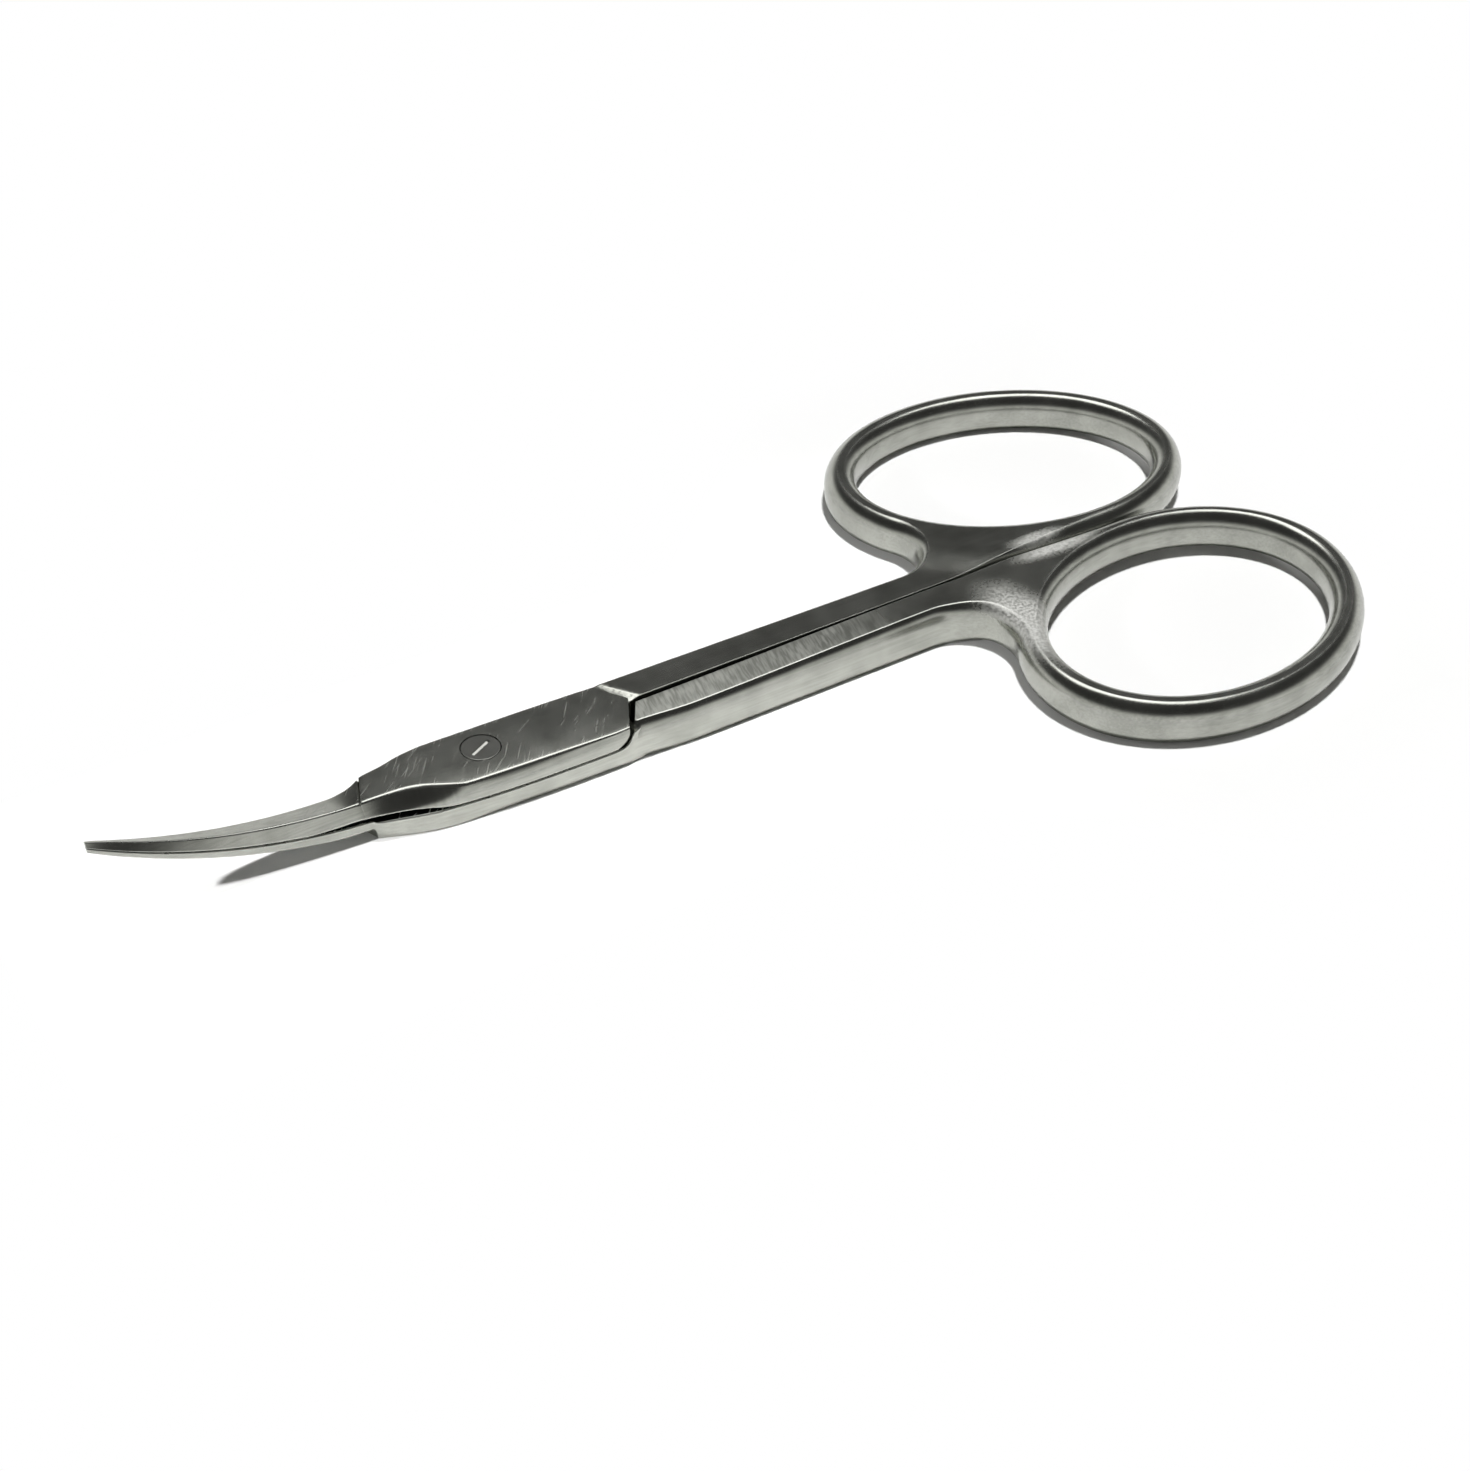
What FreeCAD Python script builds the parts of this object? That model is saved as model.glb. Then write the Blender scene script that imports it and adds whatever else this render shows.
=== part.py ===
"""Cuticle scissors lying closed on a table: two forged halves on one slotted pivot screw.

X runs along the scissors from the blade tips to the finger rings, Y across them, Z up.
The origin is on the table, midway between the tips and the far ends of the rings, on the seam.
The upper half carries the back (+Y) ring, the lower half the front (-Y) ring.
The shapes are drawn with the pivot axis at X = 0 and moved to the origin at the end.
"""
import FreeCAD
import Part
import math
import os

Vec = FreeCAD.Vector

# Overall reach along X, measured from the pivot axis.
UPPER_HANDLE_REACH = 64.1
LOWER_HANDLE_REACH = 63.5
BLADE_REACH = 25.9
# Top of the shanks and rings above the table.
THICKNESS = 3.15

# Finger rings: the oval hole, the metal round it, how far the hole sits towards the seam, where
# the metal is thinner, and how far the ovals lean towards the seam.
RING_HOLE_LENGTH = 24.2
RING_HOLE_WIDTH = 17.8
RING_LIMB_WIDTH = 2.0
RING_HOLE_SHIFT = 0.10
RING_TOE_IN_DEG = 13.0
RING_GAP = 0.10
RING_OUTER_ROUND = 1.0
RING_HOLE_ROUND = 0.75

# Shanks: width of each at the block and at the rings, from the seam plane to the widest line.
UPPER_SHANK_AT_BLOCK = 3.20
LOWER_SHANK_AT_BLOCK = 2.70
SHANK_AT_RINGS = 2.72
SHANK_ROUND = 0.45
SEAM_CHAMFER = 0.08
SEAM_GAP_AT_BLOCK = 0.20
SEAM_ROUND_START = 35.0
WEB_RADIUS = 3.6

# Lap block round the pivot.
BLOCK_TOP = 3.0
LAP_HEIGHT = 1.58
LAP_CLEARANCE = 0.06
BLOCK_END = 10.5
BLOCK_END_SLANT = 1.4
BLOCK_END_GAP = 0.35
BLOCK_FRONT = 2.15
BLOCK_BACK = 3.65
BLOCK_SIDE_LEAN = 0.35
BLOCK_FREE_INSET = 0.10

# Neck between the block and the blades. The scoop is ground out of the spine side at the face.
NECK_START = 3.0
NECK_WAIST = 6.2
NECK_END = 9.2
NECK_SCOOP = 1.0
NECK_SPINE_LEAN = 0.40
NECK_END_LEAN = 1.0
NECK_BULGE = 0.30
UPPER_NECK_SHOULDER = 0.75
LOWER_NECK_SHOULDER = 0.35
# The upper neck is relieved underneath, so that the blades bear on each other only at their edges.
NECK_RELIEF = 0.36
NECK_RELIEF_END = 11.5

# Blades: one arc bends both of them upwards.
BEND_START = 6.7
BEND_RADIUS = 38.0
BLADE_FRONT_AT_NECK = -0.42
BLADE_WIDTH_AT_NECK = 2.45
BLADE_WIDTH_AT_TIP = 0.40
BLADE_TIP_Y = 0.60
SPINE_AT_NECK = 1.30
SPINE_AT_TIP = 0.30
SPINE_SETBACK = 0.42
EDGE_AT_NECK = 0.62
EDGE_AT_TIP = 0.20
BLADE_TAPER_POWER = 0.85
BLADE_ROOT_INSET = 0.25

# Pivot screw, threaded into the lower half and flush with both faces.
PIVOT_OFFSET = 1.0
SCREW_HEAD_DIAMETER = 2.56
SCREW_HEAD_HEIGHT = 0.60
SCREW_SHANK_DIAMETER = 1.70
SCREW_SLOT_WIDTH = 0.26
SCREW_SLOT_LENGTH = 1.70
SCREW_SLOT_DEPTH = 0.30
SCREW_SLOT_DEG = 27.0
SCREW_RUNNING_CLEARANCE = 0.04
SCREW_THREAD_CLEARANCE = 0.01

# Heights at which the rounded sides are drawn, from the bottom (-1) to the top (1).
SIDE_LEVELS = (-1.0, -0.85, -0.5, 0.0, 0.5, 0.85, 1.0)
# How far round its arc a side goes before it meets the flat faces: 1 would be a full half oval.
SIDE_ARC = 0.93
OUTLINE_STEP = 1.3

UPPER = 1.0
LOWER = -1.0


def smooth_step(value, low, high):
    """0 below low, 1 above high, with an even S curve between."""
    t = min(1.0, max(0.0, (value - low) / (high - low)))
    return t * t * (3.0 - 2.0 * t)


def side_inset(level, depth):
    """How far a rounded side has drawn in at a level, reaching depth at the flat faces."""
    full = 1.0 - math.sqrt(1.0 - SIDE_ARC ** 2)
    return depth * (1.0 - math.sqrt(1.0 - (SIDE_ARC * level) ** 2)) / full


def level_height(level):
    return THICKNESS * (1.0 + level) / 2.0


class Oval:
    """An ellipse leaning by the rings' toe-in, for the half on the given side of the seam."""

    def __init__(self, centre, half_length, half_width, side):
        self.centre = centre
        self.half_length = half_length
        self.half_width = half_width
        self.lean = -side * math.radians(RING_TOE_IN_DEG)
        self.side = side

    def point(self, angle):
        """Angle 0 is the far end, and angles grow round the outer side of the ring."""
        along = self.half_length * math.cos(angle)
        across = self.side * self.half_width * math.sin(angle)
        c, s = math.cos(self.lean), math.sin(self.lean)
        return Vec(self.centre.x + along * c - across * s, self.centre.y + along * s + across * c, 0)

    def normal(self, angle):
        along = math.cos(angle) / self.half_length
        across = self.side * math.sin(angle) / self.half_width
        c, s = math.cos(self.lean), math.sin(self.lean)
        n = Vec(along * c - across * s, along * s + across * c, 0)
        return n.normalize()

    def wire(self, grow, z):
        """The closed ellipse at height z, with both half axes larger by grow."""
        ellipse = Part.Ellipse(Vec(0, 0, 0), self.half_length + grow, self.half_width + grow)
        wire = Part.Wire([ellipse.toShape()])
        wire.rotate(Vec(0, 0, 0), Vec(0, 0, 1), math.degrees(self.lean))
        wire.translate(Vec(self.centre.x, self.centre.y, z))
        return wire


def oval_reach(half_length, half_width):
    """Half extents of the leaning oval along X and along Y."""
    c = math.cos(math.radians(RING_TOE_IN_DEG))
    s = math.sin(math.radians(RING_TOE_IN_DEG))
    return math.hypot(half_length * c, half_width * s), math.hypot(half_length * s, half_width * c)


def ring_ovals(side):
    """The ring's outer oval and its hole, with the ring touching the seam gap and the full reach."""
    hole_length, hole_width = RING_HOLE_LENGTH / 2.0, RING_HOLE_WIDTH / 2.0
    outer_length, outer_width = hole_length + RING_LIMB_WIDTH, hole_width + RING_LIMB_WIDTH
    reach_x, reach_y = oval_reach(outer_length, outer_width)
    reach = UPPER_HANDLE_REACH if side == UPPER else LOWER_HANDLE_REACH
    centre = Vec(reach - reach_x, side * (RING_GAP / 2.0 + reach_y), 0)
    hole_centre = centre - Vec(0, side * RING_HOLE_SHIFT, 0)
    return Oval(centre, outer_length, outer_width, side), Oval(hole_centre, hole_length, hole_width, side)


def shank_outer(x, side):
    """Distance from the seam plane to the widest line of a shank, straight from block to rings."""
    at_block = UPPER_SHANK_AT_BLOCK if side == UPPER else LOWER_SHANK_AT_BLOCK
    start = BLOCK_END - BLOCK_END_SLANT
    t = (x - start) / (SEAM_ROUND_START - start)
    return at_block + (SHANK_AT_RINGS - at_block) * t


def seam_inner(x):
    """Distance from the seam plane to a shank's inner face: the gap closes towards the rings."""
    t = smooth_step(x, BLOCK_END, SEAM_ROUND_START)
    return (SEAM_GAP_AT_BLOCK + (RING_GAP - SEAM_GAP_AT_BLOCK) * t) / 2.0


def spaced(start, end, step):
    """Evenly spaced values from start to end, both included."""
    count = max(2, int(math.ceil(abs(end - start) / step)))
    return [start + (end - start) * i / count for i in range(count + 1)]


def web_fillet(oval, side):
    """Ring angle, centre and end X of the arc that joins the ring to the shank's outer side."""

    def miss(angle):
        centre = oval.point(angle) + oval.normal(angle) * WEB_RADIUS
        return side * centre.y - WEB_RADIUS - shank_outer(centre.x, side)

    low, high = math.radians(150.0), math.radians(250.0)
    for _ in range(60):
        middle = (low + high) / 2.0
        if miss(middle) > 0.0:
            low = middle
        else:
            high = middle
    angle = (low + high) / 2.0
    centre = oval.point(angle) + oval.normal(angle) * WEB_RADIUS
    return angle, centre


def seam_contact_angle(oval, side):
    """Ring angle at which the outer oval comes nearest to the seam plane."""
    lean = side * oval.lean
    return math.atan2(-oval.half_width * math.cos(lean), -oval.half_length * math.sin(lean))


def handle_outline(side, wall_x):
    """Points round a handle from the wall on the seam side, with the depth of the round at each.

    The path runs along the seam to the ring, round the ring, through the web and back along the
    shank's outer side to the wall. Each entry is a point, its outward normal and the round's depth.
    """
    oval, _ = ring_ovals(side)
    contact = seam_contact_angle(oval, side)
    fillet_angle, fillet_centre = web_fillet(oval, side)
    contact_x = oval.point(contact).x
    path = []
    for x in spaced(wall_x, contact_x, OUTLINE_STEP)[:-1]:
        t = smooth_step(x, SEAM_ROUND_START, contact_x)
        depth = SEAM_CHAMFER + (RING_OUTER_ROUND - SEAM_CHAMFER) * t
        path.append((Vec(x, side * seam_inner(x), 0), Vec(0, -side, 0), depth))
    for angle in spaced(contact, fillet_angle, OUTLINE_STEP / oval.half_length):
        t = smooth_step(angle, math.radians(110.0), fillet_angle)
        depth = RING_OUTER_ROUND + (2.0 * SHANK_ROUND - RING_OUTER_ROUND) * t
        path.append((oval.point(angle), oval.normal(angle), depth))
    turn_start = math.atan2(-side * oval.normal(fillet_angle).y, -oval.normal(fillet_angle).x)
    turn_end = -math.pi / 2.0
    for turn in spaced(turn_start, turn_end, 0.5 * OUTLINE_STEP / WEB_RADIUS)[1:]:
        out = Vec(math.cos(turn), side * math.sin(turn), 0)
        t = smooth_step(turn, turn_end, turn_start)
        path.append((fillet_centre + out * WEB_RADIUS, out * -1.0, SHANK_ROUND * (1.0 + t)))
    outer_wall_x = wall_x - BLOCK_END_SLANT
    for x in spaced(fillet_centre.x, outer_wall_x, OUTLINE_STEP)[1:]:
        path.append((Vec(x, side * shank_outer(x, side), 0), Vec(0, side, 0), SHANK_ROUND))
    return path


def handle(side, wall_x):
    """Shank, web and finger ring of one half, from its wall at the block to the ring's far end."""
    path = handle_outline(side, wall_x)
    wires = []
    for level in SIDE_LEVELS:
        lift = Vec(0, 0, level_height(level))
        points = [p - n * side_inset(level, depth) + lift for p, n, depth in path]
        curve = Part.BSplineCurve()
        curve.interpolate(points)
        wires.append(Part.Wire([curve.toShape(), Part.makeLine(points[-1], points[0])]))
    body = Part.makeLoft(wires, True, False)
    _, hole = ring_ovals(side)
    hole_wires = [hole.wire(side_inset(lv, RING_HOLE_ROUND), level_height(lv)) for lv in SIDE_LEVELS]
    return body.cut(Part.makeLoft(hole_wires, True, False))


def lap_height(x):
    """Height of the face between the two halves: flat at the block, then an arc up to the tips."""
    past = max(0.0, -x - BEND_START)
    return LAP_HEIGHT + BEND_RADIUS - math.sqrt(BEND_RADIUS ** 2 - past ** 2)


def blade_section(x, side, shrink):
    """Closed four-sided section of a blade at x: lap face, cutting edge land, bevel and spine side."""
    t = max(0.0, (BLADE_REACH + x) / (BLADE_REACH - NECK_END))
    taper = min(1.0, t) ** BLADE_TAPER_POWER
    width = BLADE_WIDTH_AT_TIP + (BLADE_WIDTH_AT_NECK - BLADE_WIDTH_AT_TIP) * taper - 2.0 * shrink
    spine = SPINE_AT_TIP + (SPINE_AT_NECK - SPINE_AT_TIP) * taper - shrink
    edge = EDGE_AT_TIP + (EDGE_AT_NECK - EDGE_AT_TIP) * taper - shrink
    tip_front = BLADE_TIP_Y - BLADE_WIDTH_AT_TIP / 2.0
    front = tip_front + (BLADE_FRONT_AT_NECK - tip_front) * min(1.0, t) + shrink
    back = front + width
    setback = min(SPINE_SETBACK, width / 2.0)
    lap = lap_height(x) + side * LAP_CLEARANCE / 2.0
    if side == UPPER:
        corners = [(front, lap), (back, lap), (back, lap + edge), (front + setback, lap + spine)]
    else:
        corners = [(front, lap), (back, lap), (back - setback, lap - spine), (front, lap - edge)]
    points = [Vec(x, y, z) for y, z in corners]
    return Part.makePolygon(points + points[:1])


def blade(side):
    """A blade from inside the neck to its tip: a smooth loft on a straight root."""
    root = blade_section(-(NECK_WAIST + NECK_END) / 2.0, side, BLADE_ROOT_INSET)
    sections = [blade_section(x, side, 0.0) for x in spaced(-NECK_END, -BLADE_REACH, 2.4)]
    return Part.makeLoft(sections, True, False).fuse(Part.makeLoft([root, sections[0]], True, True))


def neck_relief():
    """The shallow wedge ground out of the upper neck's lap face."""
    high = LAP_HEIGHT + NECK_RELIEF
    profile = [
        Vec(-NECK_START, -BLOCK_BACK * 2.0, LAP_HEIGHT),
        Vec(-NECK_WAIST, -BLOCK_BACK * 2.0, high),
        Vec(-NECK_RELIEF_END, -BLOCK_BACK * 2.0, high),
        Vec(-NECK_RELIEF_END, -BLOCK_BACK * 2.0, 0),
        Vec(-NECK_START, -BLOCK_BACK * 2.0, 0),
    ]
    face = Part.Face(Part.makePolygon(profile + profile[:1]))
    return face.extrude(Vec(0, BLOCK_BACK * 4.0, 0))


def free_outline(side, free_x, at_face):
    """Points along the side of the block that faces the other half's shank, from its end to the neck.

    Each point is its X and its distance from the seam plane, away from the half's own shank.
    """
    lean = BLOCK_SIDE_LEAN if at_face else 0.0
    scoop = NECK_SCOOP if at_face else 0.0
    spine_lean = NECK_SPINE_LEAN if at_face else 0.0
    end = LOWER_SHANK_AT_BLOCK if side == UPPER else UPPER_SHANK_AT_BLOCK
    wide = BLOCK_FRONT if side == UPPER else BLOCK_BACK
    neck = -BLADE_FRONT_AT_NECK if side == UPPER else BLADE_FRONT_AT_NECK + BLADE_WIDTH_AT_NECK
    waist = neck + (wide - neck) * (NECK_END - NECK_WAIST) / (NECK_END - NECK_START)
    return [
        (free_x, -seam_inner(BLOCK_END)),
        (free_x - BLOCK_END_SLANT, end - BLOCK_FREE_INSET - lean),
        (-NECK_START, wide - lean),
        (-NECK_WAIST, waist - scoop),
        (-NECK_END, neck - spine_lean),
    ]


def own_outline(side, wall_x, at_face):
    """Points along the side of the block that runs on into the half's own shank, from the neck.

    Each point is its X and its distance from the seam plane. The last two lie inside the shank.
    """
    lean = BLOCK_SIDE_LEAN if at_face else 0.0
    end = UPPER_SHANK_AT_BLOCK if side == UPPER else LOWER_SHANK_AT_BLOCK
    wide = BLOCK_BACK if side == UPPER else BLOCK_FRONT
    if side == UPPER:
        neck = BLADE_FRONT_AT_NECK + BLADE_WIDTH_AT_NECK + UPPER_NECK_SHOULDER
    else:
        neck = -BLADE_FRONT_AT_NECK + LOWER_NECK_SHOULDER
    neck_x = -NECK_END + NECK_END_LEAN
    middle_x = (neck_x - NECK_START) / 2.0
    outer_x = wall_x - BLOCK_END_SLANT
    return [
        (neck_x, neck - lean),
        (middle_x, (neck + wide) / 2.0 + NECK_BULGE - lean),
        (-NECK_START, wide - lean),
        (outer_x, end - lean),
        (outer_x + BLOCK_END_SLANT, end - 2.0 * SHANK_ROUND),
        (wall_x + BLOCK_END_SLANT, seam_inner(BLOCK_END) + SHANK_ROUND),
    ]


def block(side, free_x, wall_x):
    """The lap block and neck of one half, between the lap face and the half's own outer face.

    The free end stops short of the other half's wall. On its own side the block runs on into
    the shank.
    """
    lap = LAP_HEIGHT + side * LAP_CLEARANCE / 2.0
    face = BLOCK_TOP if side == UPPER else 0.0
    wires = []
    for z, at_face in ((lap, False), (face, True)):
        points = [Vec(x, -side * y, z) for x, y in free_outline(side, free_x, at_face)]
        points += [Vec(x, side * y, z) for x, y in own_outline(side, wall_x, at_face)]
        wires.append(Part.makePolygon(points + points[:1]))
    return Part.makeLoft(wires, True, True)


def round_bar(diameter, bottom, top):
    """An upright cylinder on the pivot axis."""
    return Part.makeCylinder(diameter / 2.0, top - bottom, Vec(0, PIVOT_OFFSET, bottom))


def upper_half():
    shape = handle(UPPER, BLOCK_END).fuse([block(UPPER, BLOCK_END, BLOCK_END), blade(UPPER)])
    shape = shape.cut(neck_relief())
    clearance = 2.0 * SCREW_RUNNING_CLEARANCE
    seat = BLOCK_TOP - SCREW_HEAD_HEIGHT - SCREW_RUNNING_CLEARANCE
    shape = shape.cut(round_bar(SCREW_SHANK_DIAMETER + clearance, -1.0, BLOCK_TOP + 1.0))
    shape = shape.cut(round_bar(SCREW_HEAD_DIAMETER + clearance, seat, BLOCK_TOP + 1.0))
    return shape.removeSplitter()


def lower_half():
    wall_x = BLOCK_END + BLOCK_END_GAP
    free_x = BLOCK_END - BLOCK_END_GAP
    shape = handle(LOWER, wall_x).fuse([block(LOWER, free_x, wall_x), blade(LOWER)])
    bore = SCREW_SHANK_DIAMETER + 2.0 * SCREW_THREAD_CLEARANCE
    shape = shape.cut(round_bar(bore, -1.0, BLOCK_TOP + 1.0))
    return shape.removeSplitter()


def pivot_screw():
    """Cheese-headed screw with a straight slot that stops short of the head's rim."""
    shape = round_bar(SCREW_SHANK_DIAMETER, 0.0, BLOCK_TOP - SCREW_HEAD_HEIGHT)
    shape = shape.fuse(round_bar(SCREW_HEAD_DIAMETER, BLOCK_TOP - SCREW_HEAD_HEIGHT, BLOCK_TOP))
    slot = Part.makeBox(SCREW_SLOT_LENGTH, SCREW_SLOT_WIDTH, SCREW_SLOT_DEPTH + 1.0)
    slot.translate(Vec(-SCREW_SLOT_LENGTH / 2.0, -SCREW_SLOT_WIDTH / 2.0, BLOCK_TOP - SCREW_SLOT_DEPTH))
    slot.rotate(Vec(0, 0, 0), Vec(0, 0, 1), SCREW_SLOT_DEG)
    slot.translate(Vec(0, PIVOT_OFFSET, 0))
    return shape.cut(slot).removeSplitter()


def main():
    os.makedirs("parts", exist_ok=True)
    handle_reach = max(UPPER_HANDLE_REACH, LOWER_HANDLE_REACH)
    to_origin = Vec((BLADE_REACH - handle_reach) / 2.0, 0, 0)
    nodes = {
        "upper_half": upper_half(),
        "lower_half": lower_half(),
        "pivot_screw": pivot_screw(),
    }
    for name, shape in nodes.items():
        shape.translate(to_origin)
        shape.exportStep("parts/" + name + ".step")
        print(name, "solids", len(shape.Solids), "valid", shape.isValid(), "volume", round(shape.Volume, 2))


main()
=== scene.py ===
# %% [markdown]
# # Cuticle scissors in satin steel
# Two forged halves cross at a flush slotted screw. The packed model gives the fixed frame: where
# each half sits, and which body it turns with. Everything below is drawn in that same frame.

# %% Load the frame
import math

import bmesh
import bpy
import numpy as np
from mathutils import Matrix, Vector, geometry


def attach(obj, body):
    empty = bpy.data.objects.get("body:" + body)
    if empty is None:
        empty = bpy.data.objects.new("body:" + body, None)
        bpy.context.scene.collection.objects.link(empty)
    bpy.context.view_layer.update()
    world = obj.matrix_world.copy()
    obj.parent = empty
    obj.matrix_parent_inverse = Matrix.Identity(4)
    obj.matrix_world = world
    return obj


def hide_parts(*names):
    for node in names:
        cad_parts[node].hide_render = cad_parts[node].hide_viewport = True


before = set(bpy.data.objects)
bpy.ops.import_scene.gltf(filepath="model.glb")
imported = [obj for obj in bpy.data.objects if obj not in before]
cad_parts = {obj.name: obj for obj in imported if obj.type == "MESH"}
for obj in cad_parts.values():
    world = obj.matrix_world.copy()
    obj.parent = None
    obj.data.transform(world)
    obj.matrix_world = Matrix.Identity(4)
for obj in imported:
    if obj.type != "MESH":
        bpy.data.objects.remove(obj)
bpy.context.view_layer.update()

# %% [markdown]
# The scissors are small, so the numbers below are millimetres. X runs along the scissors from the
# screw towards the rings, Y across them from the seam between the handles, and Z up from the table.
# One function moves finished points into the frame and turns them into metres. The other helper is
# an S curve, which lets one form run into the next without a step.

# %% Units
PIVOT_X = -19.1
BACK, FRONT = 1.0, -1.0


def to_frame(points):
    """Millimetres from the screw to metres in the frame: shift along X, then divide by 1000."""
    return (np.asarray(points, float) + (PIVOT_X, 0.0, 0.0)) / 1000.0


def ease(value, low, high):
    """0 below low, 1 above high, and the S curve 3t^2 - 2t^3 between."""
    t = np.clip((value - low) / (high - low), 0.0, 1.0)
    return t * t * (3.0 - 2.0 * t)


print("the screw's X in the frame is", to_frame((0.0, 0.0, 0.0))[0], "m")

# %% [markdown]
# ## The handles
# Seen from above, a handle is a straight shank that widens through a web into an oval ring. It could
# be pulled out of a box and smoothed by subdivision, but then the oval, the seam and the web only
# come near their sizes. Here the outline is worked out from ovals, lines and one arc, so that each
# size stays exact. Both rings lean by the toe-in and just reach the seam.

# %% Ring ovals
TOE_IN = math.radians(13.0)
RING_HALF, HOLE_HALF = (14.1, 10.9), (11.7, 8.6)
REACH = {BACK: 64.1, FRONT: 63.5}
SEAM_GAP, RING_GAP = 0.20, 0.10


def oval(centre, halves, side, angle):
    """Points and outward normals of an ellipse turned by the toe-in; angle 0 is its far end."""
    c, s = math.cos(TOE_IN), -side * math.sin(TOE_IN)
    turn = np.array([[c, s], [-s, c]])
    point = np.stack([halves[0] * np.cos(angle), side * halves[1] * np.sin(angle)], -1) @ turn
    normal = np.stack([np.cos(angle) / halves[0], side * np.sin(angle) / halves[1]], -1) @ turn
    return centre + point, normal / np.linalg.norm(normal, axis=-1, keepdims=True)


def ring_centre(side):
    """Centre of a ring whose leaning outer oval just reaches its full length and the seam."""
    a, b = RING_HALF
    c, s = math.cos(TOE_IN), math.sin(TOE_IN)
    away = RING_GAP / 2 + math.hypot(a * s, b * c)
    return np.array([REACH[side] - math.hypot(a * c, b * s), side * away])


def seam_contact():
    """Ring angle of the point nearest the seam, where the leaning oval runs along X."""
    return math.atan2(-RING_HALF[1] * math.cos(TOE_IN), RING_HALF[0] * math.sin(TOE_IN))


print("ring centres", [ring_centre(side).round(2).tolist() for side in (BACK, FRONT)])

# %% Shank edges and web arc
BLOCK_END, END_SLANT = 10.5, 1.4
SEAM_ROUND_START = 35.0
SHANK_AT_BLOCK, SHANK_AT_RINGS = {BACK: 3.20, FRONT: 2.70}, 2.72
SLIM, SLIM_FADE = 0.33, (9.4, 14.5)
WEB_RADIUS = 3.6
WEB_SEARCH = math.radians(150.0), math.radians(250.0)


def shank_outer(x, side):
    """Half width of a shank on its outer side: a straight taper, slimmed at the front half's block."""
    t = (x - (BLOCK_END - END_SLANT)) / (SEAM_ROUND_START - BLOCK_END + END_SLANT)
    slim = SLIM * (1 - ease(x, *SLIM_FADE)) if side == FRONT else 0.0
    return SHANK_AT_BLOCK[side] + (SHANK_AT_RINGS - SHANK_AT_BLOCK[side]) * t - slim


def seam_inner(x):
    """Distance of a shank's inner face from the seam: half a gap that closes towards the rings."""
    return (SEAM_GAP + (RING_GAP - SEAM_GAP) * ease(x, BLOCK_END, SEAM_ROUND_START)) / 2


def web_turn(side):
    """Ring angle and centre of the hollow web arc, by halving until it touches the shank."""
    low, high = WEB_SEARCH
    for _ in range(50):
        angle = (low + high) / 2
        point, normal = oval(ring_centre(side), RING_HALF, side, np.array([angle]))
        centre = point[0] + normal[0] * WEB_RADIUS
        outside = side * centre[1] - WEB_RADIUS > shank_outer(centre[0], side)
        low, high = (angle, high) if outside else (low, angle)
    return angle, centre


print("web arcs about", [web_turn(side)[1].round(2).tolist() for side in (BACK, FRONT)])

# %% [markdown]
# The outline is followed once: along the seam, round the ring, through the web and back along the
# shank. Each run gives the points, the way out, how far the rounded side draws in there, and the
# share of that below the middle, where the real sides are straighter. One side profile swept along
# this line then makes the whole outside, where separate pieces would leave joints to hide.

# %% Along the seam and round the ring
STEP, WEB_STEP = 0.30, 0.20
RING_ROUND, WEB_ROUND, SHANK_ROUND, SEAM_ROUND, WALL_ROUND = 1.00, 0.92, 0.60, 0.05, 0.05
RING_BELOW, SHANK_BELOW = 0.5, 0.4
WEB_SIDE = math.radians(110)
RING_MEAN = 12.5


def stretch(length, step=STEP):
    """Number of points on a run: its length over the step, rounded up, and two at least."""
    return max(2, int(math.ceil(abs(length) / step)))


def seam_run(side, wall_x):
    """Straight along the seam from the block's wall, with a rounding that grows towards the ring."""
    contact_x = oval(ring_centre(side), RING_HALF, side, np.array([seam_contact()]))[0][0, 0]
    x = np.linspace(wall_x, contact_x, stretch(contact_x - wall_x))[:-1]
    grown = ease(x, SEAM_ROUND_START, contact_x)
    points, normals = np.stack([x, side * seam_inner(x)], -1), np.tile([0.0, -side], (len(x), 1))
    return points, normals, SEAM_ROUND + (RING_ROUND - SEAM_ROUND) * grown, 1 - (1 - RING_BELOW) * grown


def ring_run(side):
    """Round the outer oval from the seam to the web, with a rounding that eases over to the web's."""
    contact, fillet = seam_contact(), web_turn(side)[0]
    angle = np.linspace(contact, fillet, stretch((fillet - contact) * RING_MEAN))
    points, normals = oval(ring_centre(side), RING_HALF, side, angle)
    web = ease(angle, WEB_SIDE, fillet)
    below = RING_BELOW + (SHANK_BELOW - RING_BELOW) * web
    return points, normals, RING_ROUND + (WEB_ROUND - RING_ROUND) * web, below


print("points on the ring runs", [len(ring_run(side)[0]) for side in (BACK, FRONT)])

# %% Through the web and along the shank
LAST_STEP = 0.7


def web_run(side):
    """Along the hollow arc from the ring to the shank; the way out is towards the arc's centre."""
    fillet, centre = web_turn(side)
    normal = oval(ring_centre(side), RING_HALF, side, np.array([fillet]))[1][0]
    start, end = math.atan2(-side * normal[1], -normal[0]), -math.pi / 2
    turn = np.linspace(start, end, stretch((start - end) * WEB_RADIUS, WEB_STEP))[1:]
    out = np.stack([np.cos(turn), side * np.sin(turn)], -1)
    depth = SHANK_ROUND + (WEB_ROUND - SHANK_ROUND) * ease(turn, end, start)
    return centre + out * WEB_RADIUS, -out, depth, np.full(len(turn), SHANK_BELOW)


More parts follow.
